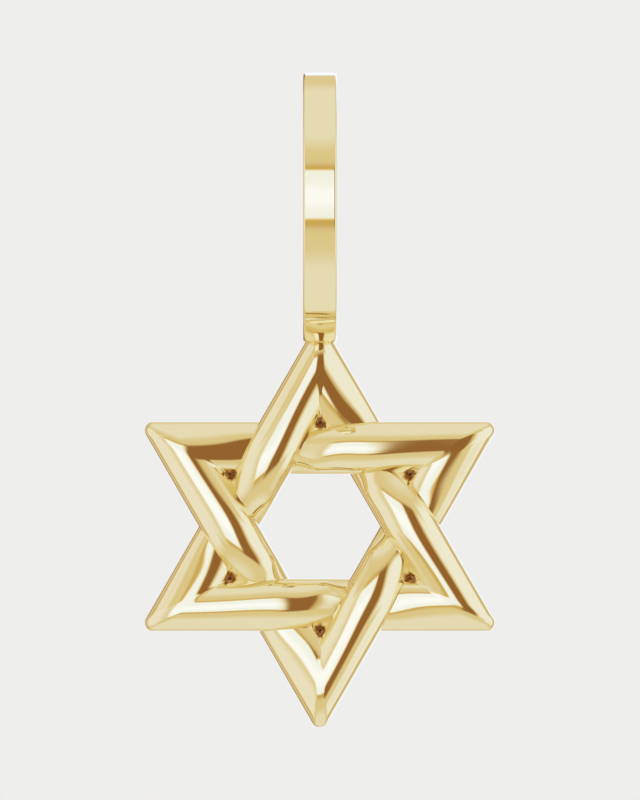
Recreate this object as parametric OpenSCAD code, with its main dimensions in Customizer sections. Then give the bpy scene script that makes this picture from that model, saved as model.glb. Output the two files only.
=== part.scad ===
// Star of David pendant in polished yellow gold.
// Two triangles of domed bar are woven over and under each other and cast as one star.
// A flat band, bent to a round loop, is soldered over the star's top point as its bail.
// Millimetres. X runs to the right as seen from the front, the front faces -Y, +Z is up.
// The origin is the inside top of the bail, where the pendant hangs on its chain.

/* [Star] */
// Distance from the centre of the star to the outer edge of each bar
star_inradius = 4.8; // [4.2:0.1:7]
// Width of a bar as seen from the front
bar_w = 2.4; // [1.4:0.1:2.6]
// Thickness of a bar from front to back
bar_t = 2.16; // [1.2:0.02:3]
// How far a bar rises to the front where it passes over, and dips where it passes under
weave_rise = 0.41; // [0:0.01:0.6]
// How far the middles and corners of the bars lie in front of the star's mid-plane
weave_lift = 0.05; // [0:0.01:0.1]
// How far the outer edge of a bar sways to the back and front of its middle, in one wave along the bar
sway_once = 0.1; // [0:0.01:0.15]
// The same in two waves along the bar
sway_twice = 0.13; // [0:0.01:0.18]
// The same in three waves along the bar
sway_thrice = 0.044; // [0:0.002:0.06]
// Radius of the six points
tip_r = 0.4; // [0.2:0.05:0.8]

/* [Bail] */
// Height of the bail, outside
loop_height = 12.35; // [10:0.05:14]
// Depth of the bail from front to back, outside, at the middle of its height
loop_depth = 12.2; // [9:0.1:14]
// How much deeper the upper half of the bail is than the lower half
loop_egg = 1.1; // [0:0.1:1.6]
// How far the bail's foot lies below the sharp corner that the star's top point ends in
loop_sink = 1.15; // [1.1:0.05:1.4]
// Width of the band, from side to side
band_w = 1.55; // [1:0.05:3]
// Thickness of the band
band_wall = 0.9; // [0.7:0.05:1.3]
// Bevel along the four long edges of the band
band_bevel = 0.12; // [0.05:0.01:0.25]

/* [Hidden] */
gold = [0.9, 0.77, 0.46];
// Six bars, and the turn from one to the next
bars = 6;
bar_turn = 360 / bars;
// Angle at the star's centre from the middle of a bar to its corners
corner_turn = 60;
// Waves of the weave in one whole turn, one for each bar of a triangle
weave_waves = 3;
// Part of a wave by which the slow sway runs ahead of the weave, and the quick one behind it
sway_shift = 45;
// Slices along a bar and round one of its points, points round a slice, and steps round the bail
bar_steps = 20;
tip_steps = 3;
slice_points = 20;
loop_steps = 60;
// Distance from the centre of the star to the centreline of each bar
bar_mid = star_inradius - bar_w / 2;
// Distance from the centre of the star to the sharp corners of its outline
star_corner = star_inradius / cos(corner_turn);
// Height of the middle of the bail above the centre of the star
loop_mid = star_corner - loop_sink + loop_height / 2;
// Height of the star's centre, which hangs below the inside top of the bail
star_z = -(loop_mid + loop_height / 2 - band_wall);

// Angle at the star's centre from the corner of a bar to the start of the rounding of one of its lines;
// level is the line's distance from the centre at the middle of the bar
function round_turn(level, round_r) =
    atan(round_r * sin(corner_turn) / ((level - round_r) / cos(corner_turn) + round_r * cos(corner_turn)));

tip_turn = round_turn(star_inradius, tip_r);
// Angles from the middle of a bar at which it is cut into slices, closer together at its points
bar_cuts = concat(
    [for (i = [0 : tip_steps - 1]) -corner_turn + tip_turn * i / tip_steps],
    [for (i = [0 : bar_steps]) atan((2 * i / bar_steps - 1) * tan(corner_turn - tip_turn))],
    [for (i = [1 : tip_steps - 1]) corner_turn - tip_turn + tip_turn * i / tip_steps]
);

// How far such a line lies from the star's centre, at angle a from the bar's middle
function line_reach(a, level, round_r) =
    let (
        off = corner_turn - abs(a),
        round_mid = (level - round_r) / cos(corner_turn),
        aside = round_mid * sin(off)
    )
    off < round_turn(level, round_r)
        ? round_mid * cos(off) + sqrt(round_r ^ 2 - aside ^ 2)
        : level / cos(a);

// How far that line lies to the back; side runs from -1 at the bar's inner edge to 1 at its outer edge
function weave(a, side) =
    let (
        wave = weave_waves * a,
        sway = sway_once * cos(wave + sway_shift) + sway_twice * cos(2 * wave - sway_shift)
            + sway_thrice * sin(3 * wave)
    )
    weave_rise * sin(wave) - weave_lift * cos(2 * wave) + side * sway;

// Points round the slice of bar k on the upright plane that stands at angle a from its middle
function bar_slice(k, a) = [
    for (j = [0 : slice_points - 1])
        let (
            q = 360 * j / slice_points,
            side = cos(q),
            reach = line_reach(a, bar_mid + bar_w / 2 * side, tip_r * (1 + side) / 2),
            turn = 90 + bar_turn * k + a
        )
        [reach * cos(turn), weave(a, side) + bar_t / 2 * sin(q), reach * sin(turn)]
];

// A point of the loop in the side view, at angle q round it and inset from its outside
function loop_point(q, inset) =
    let (
        out = loop_height / 2 * cos(q),
        up = loop_depth / 2 * sin(q) - loop_egg / 2 * cos(2 * q),
        size = norm([out, up])
    )
    [
        (loop_depth + loop_egg * sin(q)) / 2 * cos(q) - inset * out / size,
        loop_mid + loop_height / 2 * sin(q) - inset * up / size
    ];

// The outline of the loop in the side view
function loop_outline(inset) = [for (i = [0 : loop_steps - 1]) loop_point(360 * i / loop_steps, inset)];

// One closed triangle of bar about the star's centre, made of every second bar from first_bar on
module bar_triangle(first_bar) {
    slices = [for (k = [first_bar : 2 : bars - 1], a = bar_cuts) bar_slice(k, a)];
    n = len(slices);
    polyhedron(
        points = [for (slice = slices) each slice],
        faces = [
            for (i = [0 : n - 1], j = [0 : slice_points - 1])
                let (
                    here = i * slice_points,
                    next = (i + 1) % n * slice_points,
                    up = (j + 1) % slice_points
                )
                each [[here + j, next + j, next + up], [here + j, next + up, here + up]]
        ]
    );
}

// A plate with the loop's outline, from one height to another
module loop_plate(low, high, inset) {
    translate([0, 0, low]) linear_extrude(high - low) polygon(loop_outline(inset));
}

// The band of the bail about the star's centre, with its four long edges bevelled
module band() {
    rim = band_w / 2;
    land = rim - band_bevel;
    rotate([90, 0, 90]) difference() {
        hull() {
            loop_plate(-land, land, 0);
            loop_plate(-rim, rim, band_bevel);
        }
        loop_plate(-band_w, band_w, band_wall);
        for (side = [0, 1])
            mirror([0, 0, side]) hull() {
                loop_plate(0, land, band_wall);
                loop_plate(rim, band_w, band_wall - band_bevel);
            }
    }
}

module woven_star() color(gold) translate([0, 0, star_z]) {
    bar_triangle(0);
    bar_triangle(1);
}

module bail() color(gold) translate([0, 0, star_z]) difference() {
    band();
    bar_triangle(1);
}

woven_star();
bail();
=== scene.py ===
# %% [markdown]
# # A woven Star of David pendant in polished gold
#
# The real pendant is two pieces of metal: a cast star, in which two triangles of domed bar weave over
# and under each other, and a flat band bent to a round loop, which is soldered over the star's top
# point and carries the chain. The construction model already holds both at their real size. It could
# be rendered as it is, but its bars have twenty flat sides and a mirror polish would show every one.
# So this lesson models each piece again, finely enough to reflect, inside the same frame.

# %% Load the frame
import math

import bpy
from mathutils import Matrix, Vector


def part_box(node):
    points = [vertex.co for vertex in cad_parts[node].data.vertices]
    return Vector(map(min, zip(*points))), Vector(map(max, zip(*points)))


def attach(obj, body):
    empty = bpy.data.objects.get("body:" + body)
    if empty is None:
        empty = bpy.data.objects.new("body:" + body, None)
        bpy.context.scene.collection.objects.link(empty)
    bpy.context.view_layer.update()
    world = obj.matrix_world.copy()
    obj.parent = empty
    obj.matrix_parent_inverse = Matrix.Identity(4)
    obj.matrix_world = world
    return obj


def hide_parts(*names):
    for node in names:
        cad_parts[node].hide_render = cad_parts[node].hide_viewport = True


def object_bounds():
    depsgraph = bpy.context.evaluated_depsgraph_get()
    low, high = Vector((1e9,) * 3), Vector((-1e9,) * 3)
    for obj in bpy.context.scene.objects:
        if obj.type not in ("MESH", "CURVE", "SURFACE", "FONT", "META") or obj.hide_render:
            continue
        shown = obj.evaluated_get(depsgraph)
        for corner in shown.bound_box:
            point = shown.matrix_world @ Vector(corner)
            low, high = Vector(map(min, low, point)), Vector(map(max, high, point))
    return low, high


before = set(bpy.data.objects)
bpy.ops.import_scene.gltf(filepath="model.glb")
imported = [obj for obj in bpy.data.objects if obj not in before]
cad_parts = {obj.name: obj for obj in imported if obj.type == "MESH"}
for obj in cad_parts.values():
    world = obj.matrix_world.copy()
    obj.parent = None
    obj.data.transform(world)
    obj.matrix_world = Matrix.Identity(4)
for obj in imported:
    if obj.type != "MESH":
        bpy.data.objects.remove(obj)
cad_low, cad_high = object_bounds()
star_low, star_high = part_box("woven_star")
bail_low, bail_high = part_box("bail")
print("nodes:", sorted(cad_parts))

# %% [markdown]
# ## The sizes
#
# Blender works in metres here, so a jewel's sizes are easier to read when they are written in
# millimetres and turned into metres once. What the frame already says, such as where the middle of the
# star lies, is taken from it and never typed in again. A rounded point ends its own radius short of
# the sharp corner, and that sharp corner lies twice as far out as the outer edge of a bar.

# %% Name the sizes
MM = 0.001
TRIANGLE_BARS = 3
TIP_RADIUS = 0.4 * MM
STAR_CENTRE = (star_low + star_high) / 2
STAR_CORNER = (star_high.z - star_low.z) / 2 + TIP_RADIUS
STAR_INRADIUS = STAR_CORNER / 2
BAR_WIDTH = STAR_INRADIUS / 2
BAR_THICKNESS = 2.16 * MM
BAR_MID = STAR_INRADIUS - BAR_WIDTH / 2
CORNER_TURN = math.radians(60)
# How far a bar rises and dips, and how far its middle and its mitres lie to the front
WEAVE_RISE = 0.41 * MM
WEAVE_LIFT = 0.05 * MM
# How far its outer edge sways against its middle, in one, two and three waves for each wave of the weave
SWAY_ONCE = 0.1 * MM
SWAY_TWICE = 0.13 * MM
SWAY_THRICE = 0.044 * MM
SWAY_SHIFT = math.radians(45)
BAND_WIDTH = bail_high.x - bail_low.x
BAND_WALL = 0.9 * MM
BAND_BEVEL = 0.12 * MM
LOOP_HEIGHT = 12.35 * MM
LOOP_DEPTH = 12.2 * MM
# How much deeper the loop is above its middle than below
LOOP_EGG = 1.1 * MM
LOOP_MID = bail_high.z - LOOP_HEIGHT / 2
print("star", round(2 * STAR_INRADIUS / MM, 2), "mm across its bars")

# %% [markdown]
# ## The camera
#
# The photograph looks straight at the front, and the band of the bail is just as wide in its middle,
# where it bulges towards the lens, as at its top and foot. A long lens would come close to that, but an
# orthographic camera has exactly that look, and its scale is simply the height of the picture in metres.

# %% Set the camera
# In pixels of the photograph: its height, the row of the star's centre, and how far the outer edge of a
# bar lies from that centre
FRAME_HEIGHT = 800
STAR_CENTRE_ROW = 526.5
INRADIUS_PIXELS = 104.7
PIXEL = STAR_INRADIUS / INRADIUS_PIXELS
# In metres: how far off the camera stands, and where its sight begins and ends
CAMERA_DISTANCE = 0.25
NEAREST_SEEN = 0.001
FURTHEST_SEEN = 10
camera_data = bpy.data.cameras.new("front_camera")
camera_data.type = "ORTHO"
camera_data.ortho_scale = FRAME_HEIGHT * PIXEL
camera_data.clip_start = NEAREST_SEEN
camera_data.clip_end = FURTHEST_SEEN
camera = bpy.data.objects.new("front_camera", camera_data)
camera.location = (0, -CAMERA_DISTANCE, STAR_CENTRE.z + (STAR_CENTRE_ROW - FRAME_HEIGHT / 2) * PIXEL)
camera.rotation_euler = (math.pi / 2, 0, 0)
bpy.context.collection.objects.link(camera)
bpy.context.scene.camera = camera
bpy.context.scene.view_settings.view_transform = "Standard"
print("the picture is", round(FRAME_HEIGHT * PIXEL / MM, 2), "mm high")

# %% [markdown]
# ## The studio
#
# Polished metal has no colour of its own to show: it shows the room. Area lights would work, but a
# jewel's room is easier to shape as a sky of soft cards, each with a direction, a size and a soft edge.
# One node group makes the mask of one card, and the sky is built by laying card over card. The
# photograph says where they stand, since every band of colour on a bar is one of them in the mirror: a
# white soft box with a shaded rim just left of the camera, a brown flag beside it, tan above and below
# them, cream walls to both sides, and a warm belt all round. Behind the pendant stand a second box and
# flag, which the photograph cannot show, so that its back does not look dull. That flag is a lighter
# brown, because the outermost edges of the front mirror it too.

# %% A node group for one soft card
FLOAT = "NodeSocketFloat"
CARD_NUMBERS = ("Azimuth", "Elevation", "Half Width", "Half Height", "Side Edge", "Top Edge")


def new_group(name, inputs, outputs):
    """Make a shader node group with the named sockets, and hand back its tree and its two end nodes."""
    tree = bpy.data.node_groups.new(name, "ShaderNodeTree")
    for label, kind, value in inputs:
        tree.interface.new_socket(name=label, in_out="INPUT", socket_type=kind).default_value = value
    for label, kind in outputs:
        tree.interface.new_socket(name=label, in_out="OUTPUT", socket_type=kind)
    return tree, tree.nodes.new("NodeGroupInput"), tree.nodes.new("NodeGroupOutput")


def math_node(tree, operation, first, second=0.0):
    """Add a Math node fed by two values or sockets, and hand back its result."""
    node = tree.nodes.new("ShaderNodeMath")
    node.operation = operation
    for socket, value in zip(node.inputs, (first, second)):
        if isinstance(value, bpy.types.NodeSocket):
            tree.links.new(value, socket)
        else:
            socket.default_value = value
    return node.outputs[0]


def soft_step(tree, value, middle, softness):
    """One below middle and zero above it, with a soft edge."""
    node = tree.nodes.new("ShaderNodeMapRange")
    node.interpolation_type = "SMOOTHSTEP"
    half = math_node(tree, "MULTIPLY", softness, 0.5)
    tree.links.new(value, node.inputs["Value"])
    tree.links.new(math_node(tree, "ADD", middle, half), node.inputs["From Min"])
    tree.links.new(math_node(tree, "SUBTRACT", middle, half), node.inputs["From Max"])
    return node.outputs[0]


card_tree, card_in, card_out = new_group(
    "studio_card",
    [(label, FLOAT, 0) for label in ("Ray Azimuth", "Ray Elevation", *CARD_NUMBERS)],
    [("Mask", FLOAT)],
)
masks = []
for ray, card, half, edge in (
    ("Ray Azimuth", "Azimuth", "Half Width", "Side Edge"),
    ("Ray Elevation", "Elevation", "Half Height", "Top Edge"),
):
    away = math_node(card_tree, "ABSOLUTE", math_node(
        card_tree, "SUBTRACT", card_in.outputs[ray], card_in.outputs[card]))
    masks.append(soft_step(card_tree, away, card_in.outputs[half], card_in.outputs[edge]))
card_tree.links.new(math_node(card_tree, "MULTIPLY", *masks), card_out.inputs["Mask"])
print("nodes in a card:", len(card_tree.nodes))

# %% Build the sky of cards
PALE_WALL = (0.835, 0.815, 0.8)
WARM_BELT = (0.755, 0.66, 0.44)
LEFT_CREAM = (0.876, 0.866, 0.925)
RIGHT_CREAM = (0.91, 0.95, 1.1)
DEEP_TAN = (0.66, 0.5, 0.25)
DARK_EDGE = (0.64, 0.45, 0.15)
BOX_RIM = (0.9, 0.8, 0.5)
SOFT_BOX = (0.95, 1.05, 1.43)
BOX_CORE = (1.04, 1.13, 1.62)
BROWN_FLAG = (0.31, 0.143, 0.047)
BACK_FLAG = (0.42, 0.26, 0.1)
# One row for each card, laid over those before it: its colour, then in degrees its azimuth to the right,
# its elevation, its half width, its half height and how soft its sides and its top and bottom are.
# The last row carries the box behind on past half a turn, where the azimuth starts again.
CARDS = [
    (WARM_BELT, 0, 0, 190, 50, 1, 24),
    (LEFT_CREAM, -90, 0, 30, 36, 12, 12),
    (LEFT_CREAM, -90, 0, 48, 26, 30, 10),
    (RIGHT_CREAM, 90, 0, 32, 36, 12, 12),
    (RIGHT_CREAM, 90, 0, 50, 24, 16, 8),
    (DEEP_TAN, 4, 1.5, 34, 28, 8, 12),
    (BROWN_FLAG, 17, 0, 15.5, 26, 6, 7),
    (DARK_EDGE, -12, 1.5, 17, 26, 6, 5),
    (BOX_RIM, -12.8, 2, 18.9, 21.9, 9, 3),
    (SOFT_BOX, -13.5, 2, 16.9, 21, 10, 2.6),
    (BOX_CORE, -13.5, -0.5, 16.9, 8.5, 10, 14),
    (DEEP_TAN, 126, 0, 12, 40, 12, 16),
    (DEEP_TAN, -126, 0, 12, 40, 12, 16),
    (BACK_FLAG, -162.5, 0, 14, 25, 7, 8),
    (SOFT_BOX, 164.5, 0, 20, 21, 9, 4),
    (SOFT_BOX, -180, 0, 3.5, 21, 7, 4),
]
world = bpy.data.worlds.new("studio")
bpy.context.scene.world = world
world.use_nodes = True
sky = world.node_tree
sky.nodes.clear()
direction = sky.nodes.new("ShaderNodeTexCoord").outputs["Generated"]
parts = sky.nodes.new("ShaderNodeSeparateXYZ")
sky.links.new(direction, parts.inputs[0])
ahead = math_node(sky, "MULTIPLY", parts.outputs["Y"], -1.0)
ray_azimuth = math_node(sky, "DEGREES", math_node(sky, "ARCTAN2", parts.outputs["X"], ahead))
ray_elevation = math_node(sky, "DEGREES", math_node(sky, "ARCSINE", parts.outputs["Z"]))
colour = sky.nodes.new("ShaderNodeRGB").outputs[0]
colour.default_value = (*PALE_WALL, 1)
for paint, *numbers in CARDS:
    card = sky.nodes.new("ShaderNodeGroup")
    card.node_tree = card_tree
    sky.links.new(ray_azimuth, card.inputs["Ray Azimuth"])
    sky.links.new(ray_elevation, card.inputs["Ray Elevation"])
    for label, value in zip(CARD_NUMBERS, numbers):
        card.inputs[label].default_value = value
    mix = sky.nodes.new("ShaderNodeMix")
    mix.data_type = "RGBA"
    sky.links.new(card.outputs["Mask"], mix.inputs["Factor"])
    sky.links.new(colour, mix.inputs["A"])
    mix.inputs["B"].default_value = (*paint, 1)
    colour = mix.outputs["Result"]
print("cards in the sky:", len(CARDS))

# %% [markdown]
# ## The backdrop
#
# The gold mirrors the cards, but the camera should not see them: the pendant hangs before a plain pale
# wall. A wall of its own would stand in the way of the cards, so the sky asks what kind of ray looks at
# it, and shows the camera one colour and everything else the room.

# %% Show the camera a plain wall
BACKDROP = (0.86, 0.855, 0.84)
room = sky.nodes.new("ShaderNodeBackground")
sky.links.new(colour, room.inputs["Color"])
plain = sky.nodes.new("ShaderNodeBackground")
plain.inputs["Color"].default_value = (*BACKDROP, 1)
seen = sky.nodes.new("ShaderNodeLightPath")
either = sky.nodes.new("ShaderNodeMixShader")
sky.links.new(seen.outputs["Is Camera Ray"], either.inputs[0])
sky.links.new(room.outputs[0], either.inputs[1])
sky.links.new(plain.outputs[0], either.inputs[2])
sky.links.new(either.outputs[0], sky.nodes.new("ShaderNodeOutputWorld").inputs["Surface"])
print("nodes in the sky:", len(sky.nodes))

# %% [markdown]
# ## The floor
#
# The pendant hangs, so the floor lies a little below it and only catches its shadow, which a faint lamp
# high on the left throws. Both are hidden from mirror rays, because the photograph's gold shows the
# same room below as above.

# %% Lay the floor and hang the lamp
FLOOR_GAP = 15 * MM
FLOOR_SIZE = 1.6
FLOOR_PAINT = (0.78, 0.785, 0.79)
FLOOR_ROUGHNESS = 0.7
LAMP_PLACE = Vector((-0.12, -0.16, 0.28))
LAMP_AIM = Vector((0, 0, -0.015))
LAMP_WATTS = 0.5
LAMP_SIZE = 0.18
bpy.ops.mesh.primitive_plane_add(size=FLOOR_SIZE, location=(0, 0, cad_low.z - FLOOR_GAP))
floor = bpy.context.object
floor.name = "floor"
floor.visible_glossy = False
floor_paint = bpy.data.materials.new("pale_floor")
floor_paint.use_nodes = True
floor_shader = floor_paint.node_tree.nodes["Principled BSDF"]
floor_shader.inputs["Base Color"].default_value = (*FLOOR_PAINT, 1)
floor_shader.inputs["Roughness"].default_value = FLOOR_ROUGHNESS
floor.data.materials.append(floor_paint)
bpy.ops.object.light_add(type="AREA", location=LAMP_PLACE)
lamp = bpy.context.object
lamp.name = "overhead_lamp"
lamp.data.energy = LAMP_WATTS
lamp.data.size = LAMP_SIZE
lamp.visible_glossy = False
lamp.rotation_euler = (LAMP_AIM - LAMP_PLACE).to_track_quat("-Z", "Y").to_euler()
print("the floor lies", round(FLOOR_GAP / MM), "mm below the pendant")

# %% [markdown]
# ## The gold
#
# Mirror-polished gold is one plain metal, and what makes it real is very small: a faint unevenness in
# the polish, which softens the reflections here and there, and hairline handling marks. Both pieces
# have them, but the band is rolled flat and the star is cast and buffed, so the effect is one node
# group that each material uses with its own numbers. The gold's own colour is a pale yellow; what
# looks tan or brown in the picture is the room in it.

# %% A node group for the polish
COLOR = "NodeSocketColor"
VECTOR = "NodeSocketVector"
GOLD = (0.94, 0.86, 0.56, 1)
WARM_GOLD = (0.94, 0.85, 0.53, 1)
HAZE_DETAIL = 3
HAIR_DETAIL = 4
HAIR_WANDER = 0.4
polish_tree, polish_in, polish_out = new_group(
    "hand_polish",
    [("Haze Scale", FLOAT, 300), ("Scratch Scale", FLOAT, 900), ("Scratch Stretch", VECTOR, (1, 1, 1)),
     ("Roughness", FLOAT, 0.05), ("Haze", FLOAT, 0.03),
     ("Gold", COLOR, GOLD), ("Warm Gold", COLOR, WARM_GOLD)],
    [("Color", COLOR), ("Roughness", FLOAT), ("Height", FLOAT)],
)
place = polish_tree.nodes.new("ShaderNodeTexCoord").outputs["Object"]
haze = polish_tree.nodes.new("ShaderNodeTexNoise")
haze.inputs["Detail"].default_value = HAZE_DETAIL
polish_tree.links.new(place, haze.inputs["Vector"])
polish_tree.links.new(polish_in.outputs["Haze Scale"], haze.inputs["Scale"])
stretch = polish_tree.nodes.new("ShaderNodeVectorMath")
stretch.operation = "MULTIPLY"
polish_tree.links.new(place, stretch.inputs[0])
polish_tree.links.new(polish_in.outputs["Scratch Stretch"], stretch.inputs[1])
hair = polish_tree.nodes.new("ShaderNodeTexNoise")
hair.inputs["Detail"].default_value = HAIR_DETAIL
hair.inputs["Distortion"].default_value = HAIR_WANDER
polish_tree.links.new(stretch.outputs[0], hair.inputs["Vector"])
polish_tree.links.new(polish_in.outputs["Scratch Scale"], hair.inputs["Scale"])
polish_tree.links.new(hair.outputs["Fac"], polish_out.inputs["Height"])
extra = math_node(polish_tree, "MULTIPLY", haze.outputs["Fac"], polish_in.outputs["Haze"])
polish_tree.links.new(
    math_node(polish_tree, "ADD", polish_in.outputs["Roughness"], extra), polish_out.inputs["Roughness"])
tone = polish_tree.nodes.new("ShaderNodeMix")
tone.data_type = "RGBA"
polish_tree.links.new(haze.outputs["Fac"], tone.inputs["Factor"])
polish_tree.links.new(polish_in.outputs["Gold"], tone.inputs["A"])
polish_tree.links.new(polish_in.outputs["Warm Gold"], tone.inputs["B"])
polish_tree.links.new(tone.outputs["Result"], polish_out.inputs["Color"])
print("nodes in the polish:", len(polish_tree.nodes))

# %% [markdown]
# ## The pits
#
# Inside each point of the star the inner corner of one triangle touches the outer edge of a bar of the
# other, and between these three bars a narrow pit is left, where shade falls. That shade is painted: the
# bottom of the pit is made a matt brown that is no metal, and painted shade of that brown tints the
# bright metal a little way round. A texture could paint the six spots, but they all lie at one distance
# from the middle of the star, a sixth of a turn apart, so a few lines of arithmetic on the object's own
# coordinates find them: the angle round the star is folded back and forth every thirty degrees, which
# leaves one spot to measure the distance to.

# %% A node group for the painted shade in the pits
# A dark brown painted into the pits as shade, in their matt bottom and in the tint round them
PIT_SHADE_BROWN = (0.58, 0.31, 0.1, 1)
WHITE = (1, 1, 1, 1)
pit_tree, pit_in, pit_out = new_group(
    "painted_pit_shade",
    [("Color", COLOR, WHITE), ("Pit Color", COLOR, PIT_SHADE_BROWN),
     ("Roughness", FLOAT, 0.05), ("Pit Roughness", FLOAT, 0.5),
     ("Metallic", FLOAT, 1), ("Pit Metallic", FLOAT, 0),
     ("Matt Radius", FLOAT, 0.14 * MM), ("Matt Edge", FLOAT, 0.12 * MM),
     ("Shade Tint Radius", FLOAT, 0.19 * MM), ("Shade Tint Edge", FLOAT, 0.24 * MM)],
    [("Color", COLOR), ("Roughness", FLOAT), ("Metallic", FLOAT)],
)


def length_of(tree, first, second):
    """The long side of a right triangle whose two short sides are sockets."""
    squares = [math_node(tree, "MULTIPLY", side, side) for side in (first, second)]
    return math_node(tree, "SQRT", math_node(tree, "ADD", *squares))


spot = pit_tree.nodes.new("ShaderNodeSeparateXYZ")
pit_tree.links.new(pit_tree.nodes.new("ShaderNodeTexCoord").outputs["Object"], spot.inputs[0])
sideways = spot.outputs["X"]
upward = math_node(pit_tree, "SUBTRACT", spot.outputs["Z"], STAR_CENTRE.z)
radius = length_of(pit_tree, sideways, upward)
fold = math_node(pit_tree, "PINGPONG", math_node(pit_tree, "ARCTAN2", sideways, upward), CORNER_TURN / 2)
beside = math_node(pit_tree, "MULTIPLY", radius, math_node(pit_tree, "SINE", fold))
outward = math_node(pit_tree, "MULTIPLY", radius, math_node(pit_tree, "COSINE", fold))
distance = length_of(pit_tree, beside, math_node(pit_tree, "SUBTRACT", outward, STAR_INRADIUS))
# The core of each pit is made matt and no metal, so the brown painted there reads as shade
matt = soft_step(pit_tree, distance, pit_in.outputs["Matt Radius"], pit_in.outputs["Matt Edge"])
# Painted shade: the pit's brown spread over the bright metal a little way round each pit
painted_shade = soft_step(pit_tree, distance, pit_in.outputs["Shade Tint Radius"], pit_in.outputs["Shade Tint Edge"])
for label, kind, share in (
    ("Color", "RGBA", painted_shade),
    ("Roughness", "FLOAT", matt),
    ("Metallic", "FLOAT", matt),
):
    mix = pit_tree.nodes.new("ShaderNodeMix")
    mix.data_type = kind
    pit_tree.links.new(share, mix.inputs["Factor"])
    first, second = [socket for socket in mix.inputs if socket.name in ("A", "B") and socket.enabled]
    pit_tree.links.new(pit_in.outputs[label], first)
    pit_tree.links.new(pit_in.outputs["Pit " + label], second)
    pit_tree.links.new([socket for socket in mix.outputs if socket.enabled][0], pit_out.inputs[label])
print("the pits lie", round(STAR_INRADIUS / MM, 2), "mm from the star's middle")

# %% One material for each piece
# Only what isn't metal, the bottom of a pit painted brown as shade, has this gloss
PIT_GLOSS = 0.05
HAIR_STRENGTH = 0.02
HAIR_DEPTH = 0.02 * MM


def gold_material(name, scratch_stretch, roughness, haze_amount):
    """Polished gold with its own run of hairline marks."""
    paint = bpy.data.materials.new(name)
    paint.use_nodes = True
    tree = paint.node_tree
    shader = tree.nodes["Principled BSDF"]
    shader.inputs["Specular IOR Level"].default_value = PIT_GLOSS
    polish = tree.nodes.new("ShaderNodeGroup")
    polish.node_tree = polish_tree
    polish.inputs["Scratch Stretch"].default_value = scratch_stretch
    polish.inputs["Roughness"].default_value = roughness
    polish.inputs["Haze"].default_value = haze_amount
    bump = tree.nodes.new("ShaderNodeBump")
    bump.inputs["Strength"].default_value = HAIR_STRENGTH
    bump.inputs["Distance"].default_value = HAIR_DEPTH
    # The pit group paints shade into the six pits: a brown, matt bottom that is no metal, and a brown tint
    # round it
    pits = tree.nodes.new("ShaderNodeGroup")
    pits.node_tree = pit_tree
    for label in ("Color", "Roughness"):
        tree.links.new(polish.outputs[label], pits.inputs[label])
    for label, socket in (("Color", "Base Color"), ("Roughness", "Roughness"), ("Metallic", "Metallic")):
        tree.links.new(pits.outputs[label], shader.inputs[socket])
    tree.links.new(polish.outputs["Height"], bump.inputs["Height"])
    tree.links.new(bump.outputs["Normal"], shader.inputs["Normal"])
    return paint


cast_gold = gold_material(
    "cast_gold_mirror_polish", scratch_stretch=(1, 1, 1), roughness=0.04, haze_amount=0.03)
band_gold = gold_material(
    "rolled_band_mirror_polish", scratch_stretch=(0.1, 1, 1), roughness=0.03, haze_amount=0.03)
print("golds:", cast_gold.name, "and", band_gold.name)

# %% [markdown]
# ## One bar of the star
#
# Each bar is a tube with an oval section, cut to a mitre at both ends. A boolean could cut the mitres,
# but it would leave slivers that a mirror polish shows. Here a cylinder gets its rings first, and then
# each ring is fanned out so that it lies on an upright plane through the middle of the star: a point
# twice as far out moves twice as far along. The end rings then are the mitres, and every ring sits at
# one angle round the star, which is just what the weave needs.

# %% Model the top bar
BAR_SIDES = 120
# Subdivide makes a hundred cuts at most, so these are the most steps that one call gives
BAR_STEPS = 101
HALF_BAR = BAR_MID * math.tan(CORNER_TURN)


def only(piece):
    """Make one object the active one and the only one selected."""
    bpy.ops.object.select_all(action="DESELECT")
    piece.select_set(True)
    bpy.context.view_layer.objects.active = piece


def edit(piece):
    """Enter edit mode on one object with everything selected."""
    only(piece)
    bpy.ops.object.mode_set(mode="EDIT")
    bpy.ops.mesh.select_all(action="SELECT")


def pick_edges(piece, test):
    """In edit mode, select only the edges of an object whose two ends pass a test."""
    bpy.ops.mesh.select_mode(type="EDGE")
    bpy.ops.mesh.select_all(action="DESELECT")
    bpy.ops.object.mode_set(mode="OBJECT")
    for edge in piece.data.edges:
        edge.select = test(*(piece.data.vertices[i].co for i in edge.vertices))
    bpy.ops.object.mode_set(mode="EDIT")


bpy.ops.object.select_all(action="DESELECT")
bpy.ops.mesh.primitive_cylinder_add(
    vertices=BAR_SIDES, radius=BAR_WIDTH / 2, depth=2 * HALF_BAR,
    end_fill_type="NOTHING", rotation=(0, math.pi / 2, 0))
bar = bpy.context.object
bar.name = "bar"
bpy.ops.object.transform_apply(location=False, rotation=True, scale=False)
edit(bar)
# Only the long edges are cut, so the bar gets rings and no new sides
pick_edges(bar, lambda start, end: abs(start.x - end.x) > HALF_BAR)
bpy.ops.mesh.subdivide(number_cuts=BAR_STEPS - 1)
bpy.ops.mesh.select_all(action="SELECT")
bpy.ops.transform.resize(value=(1, BAR_THICKNESS / BAR_WIDTH, 1))
bpy.ops.transform.translate(value=(0, 0, BAR_MID))
bpy.ops.object.mode_set(mode="OBJECT")
print("bar faces:", len(bar.data.polygons))

# %% [markdown]
# ## The mitres, the weave and the points
#
# Now the three moves that make a bar of this star, each a rule for one point of the mesh. The fan puts
# the rings on planes through the star's middle, closer together towards the mitres. Where a line of the
# bar nears the mitre it is rounded off, with the full radius along the outer edge and none along the
# inner one, which gives the star its soft points. The weave lifts the bar to the front on one side of
# its middle and dips it on the other, in a wave that is back at middle height at both mitres, where it
# runs on into the next bar. The bands of colour in the photograph run in gentle curves, which a plain
# wave would not give: they say that the outer edge sways a little against the inner one as the bar goes
# along, and three small waves of that sway bring the curves out.

# %% Fan, weave and round the bar
RING_CROWDING = 1.6


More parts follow.
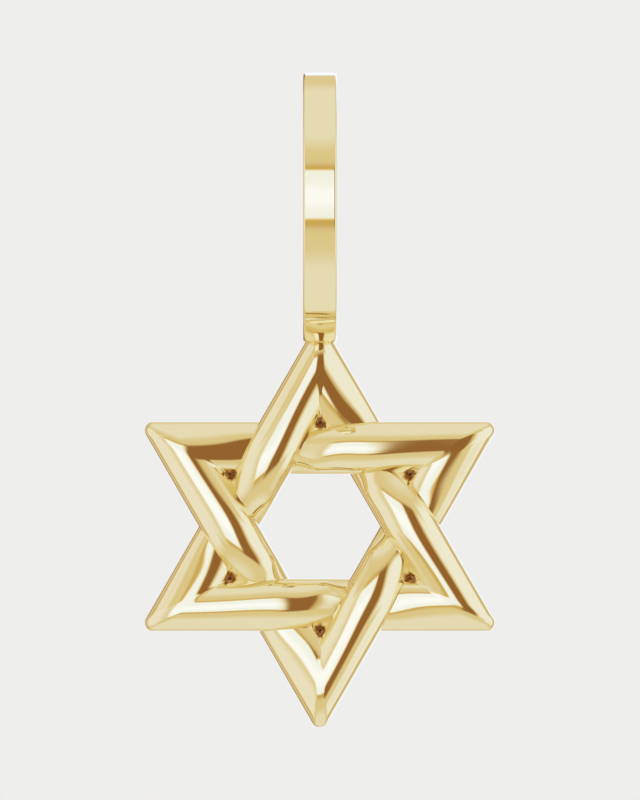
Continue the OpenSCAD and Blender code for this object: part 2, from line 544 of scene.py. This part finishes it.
def rounded_reach(turn, level, radius):
    """How far a line of the bar lies from the star's middle, at a turn from the middle of the bar."""
    off = CORNER_TURN - abs(turn)
    round_mid = (level - radius) / math.cos(CORNER_TURN)
    if off > math.atan2(radius * math.sin(CORNER_TURN), round_mid + radius * math.cos(CORNER_TURN)):
        return level / math.cos(turn)
    return round_mid * math.cos(off) + math.sqrt(radius ** 2 - (round_mid * math.sin(off)) ** 2)


def weave(turn, side):
    """How far a line of the bar lies to the back; side is -1 at the bar's inner edge and 1 at its outer."""
    wave = -TRIANGLE_BARS * turn
    sway = (SWAY_ONCE * math.cos(wave + SWAY_SHIFT) + SWAY_TWICE * math.cos(2 * wave - SWAY_SHIFT)
            + SWAY_THRICE * math.sin(3 * wave))
    return WEAVE_RISE * math.sin(wave) - WEAVE_LIFT * math.cos(2 * wave) + side * sway


for vert in bar.data.vertices:
    share = vert.co.x / HALF_BAR
    share = math.copysign(1 - (1 - min(abs(share), 1)) ** RING_CROWDING, share)
    turn = math.atan(share * math.tan(CORNER_TURN))
    side = (vert.co.z - BAR_MID) / (BAR_WIDTH / 2)
    reach = rounded_reach(turn, vert.co.z, TIP_RADIUS * (1 + side) / 2)
    vert.co = (reach * math.sin(turn), vert.co.y + weave(turn, side), reach * math.cos(turn))
bar.data.update()
depths = [vert.co.y / MM for vert in bar.data.vertices]
print("the bar reaches from", round(min(depths), 2), "to", round(max(depths), 2), "mm, front to back")

# %% [markdown]
# ## Two triangles, one star
#
# Three copies of the bar, each a third of a turn on, close into a triangle once their mitres are
# merged. The second triangle is the first one turned half a turn: the weave falls into place by itself,
# because it was worked out from the angle round the star. A boolean union then fuses them as the
# casting is fused. Its cut leaves slivers, and slivers shine in the wrong direction, so before it the
# mesh remembers how each corner of each face shines. The boolean carries those directions along, and
# afterwards each corner gets its own one back.

# %% Close the two triangles
MERGE_REACH = 0.0005 * MM


def turned_copy(piece, degrees, name):
    """A copy with its own mesh, turned about the star's middle as seen from the front."""
    copy = bpy.data.objects.new(name, piece.data.copy())
    bpy.context.collection.objects.link(copy)
    copy.data.transform(Matrix.Rotation(math.radians(-degrees), 4, "Y"))
    return copy


def joined(pieces, name):
    """Join objects into the first of them and merge the points that meet."""
    only(pieces[0])
    for piece in pieces:
        piece.select_set(True)
    bpy.ops.object.join()
    pieces[0].name = name
    edit(pieces[0])
    bpy.ops.mesh.remove_doubles(threshold=MERGE_REACH)
    bpy.ops.mesh.normals_make_consistent(inside=False)
    bpy.ops.object.mode_set(mode="OBJECT")
    return pieces[0]


bar_turn = 360 / TRIANGLE_BARS
bars = [turned_copy(bar, bar_turn * i, f"down_bar_{i}") for i in range(TRIANGLE_BARS)]
down_triangle = joined(bars, "down_triangle")
only(down_triangle)
bpy.ops.object.shade_smooth()
up_triangle = turned_copy(down_triangle, 180, "up_triangle")
bpy.data.objects.remove(bar)
print("triangle faces:", len(down_triangle.data.polygons))


# %% Fuse them into one star
def remember_normals(piece):
    """Store how each corner of each face shines, before a cut makes slivers of some of them."""
    store = piece.data.attributes.new("shine", "FLOAT_VECTOR", "CORNER")
    normals = [part for corner in piece.data.corner_normals for part in corner.vector]
    store.data.foreach_set("vector", normals)


def apply_modifier(piece, kind, **values):
    """Add a modifier, set it and apply it."""
    only(piece)
    modifier = piece.modifiers.new(kind.lower(), kind)
    for name, value in values.items():
        setattr(modifier, name, value)
    bpy.ops.object.modifier_apply(modifier=modifier.name)


star = turned_copy(down_triangle, 0, "woven_star_polished")
remember_normals(up_triangle)
remember_normals(star)
apply_modifier(star, "BOOLEAN", operation="UNION", solver="EXACT", object=up_triangle)
print("star faces:", len(star.data.polygons))


# %% Keep the polish even along the cuts
def restore_normals(piece):
    """Let each corner of each face shine as stored, or the other way where the cut turned its face."""
    only(piece)
    bpy.ops.object.shade_smooth()
    store = piece.data.attributes["shine"].data
    normals = []
    for face in piece.data.polygons:
        for corner in face.loop_indices:
            normal = Vector(store[corner].vector)
            normals.append(-normal if normal.dot(face.normal) < 0 else normal)
    piece.data.attributes.remove(piece.data.attributes["shine"])
    piece.data.normals_split_custom_set(normals)


restore_normals(star)
for piece in (star, up_triangle):
    piece.data.transform(Matrix.Translation(STAR_CENTRE))
bpy.data.objects.remove(down_triangle)
print("corners with a normal of their own:", len(star.data.loops))

# %% [markdown]
# ## The bail
#
# The band is bent round a former into a loop, and from the side the loop is a little deeper above its
# middle than below, like an egg. The photograph looks along that loop, so its shape has to be read from
# the mirror: the rows at which the white box begins and ends, and the row below which the band looks
# down at the star itself, each say how steep the band is there. A ring of edges is shaped to that egg
# and pulled out to the width of the band. Solidify gives it its thickness towards the inside, and a
# small bevel breaks its four long edges as a jeweller's file does. Last, the star's top point is cut
# out of its foot, so that the two pieces meet face to face, as they do under the solder.

# %% Shape the loop and pull out the band
LOOP_SIDES = 240
bpy.ops.object.select_all(action="DESELECT")
bpy.ops.mesh.primitive_circle_add(vertices=LOOP_SIDES, radius=1, rotation=(0, math.pi / 2, 0))
bail = bpy.context.object
bail.name = "bail_polished"
bpy.ops.object.transform_apply(location=False, rotation=True, scale=False)
for vert in bail.data.vertices:
    vert.co.y *= (LOOP_DEPTH + LOOP_EGG * vert.co.z) / 2
edit(bail)
bpy.ops.transform.resize(value=(1, 1, LOOP_HEIGHT / 2), center_override=(0, 0, 0))
bpy.ops.transform.translate(value=(-BAND_WIDTH / 2, 0, LOOP_MID))
bpy.ops.mesh.extrude_region_move(TRANSFORM_OT_translate={"value": (BAND_WIDTH, 0, 0)})
bpy.ops.mesh.select_all(action="SELECT")
bpy.ops.mesh.normals_make_consistent(inside=False)
bpy.ops.object.mode_set(mode="OBJECT")
print("bail strip faces:", len(bail.data.polygons))

# %% Give the band its wall and its bevels
SMOOTH_BELOW = math.radians(30)
BEVEL_ABOVE = math.radians(60)
BEVEL_STEPS = 4
apply_modifier(bail, "SOLIDIFY", thickness=BAND_WALL, offset=-1, use_even_offset=True)
edit(bail)
bpy.ops.mesh.normals_make_consistent(inside=False)
bpy.ops.object.mode_set(mode="OBJECT")
bpy.ops.object.shade_smooth_by_angle(angle=SMOOTH_BELOW)
apply_modifier(bail, "BEVEL", width=BAND_BEVEL, segments=BEVEL_STEPS, limit_method="ANGLE",
               angle_limit=BEVEL_ABOVE, harden_normals=True)
print("bevelled band faces:", len(bail.data.polygons))

# %% Cut its foot to the star's point
remember_normals(bail)
apply_modifier(bail, "BOOLEAN", operation="DIFFERENCE", solver="EXACT", object=up_triangle)
restore_normals(bail)
bpy.data.objects.remove(up_triangle)
print("bail faces:", len(bail.data.polygons))

# %% [markdown]
# ## Into the frame
#
# Each piece gets its gold and takes the place of the node that it was modelled on. Both ride on the one
# body, because the solder holds them together.

# %% Dress the pieces and put them in the frame
for piece, node, gold in ((star, "woven_star", cast_gold), (bail, "bail", band_gold)):
    piece.data.materials.clear()
    piece.data.materials.append(gold)
    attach(piece, "root")
    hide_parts(node)
    print(piece.name, "stands for", node)
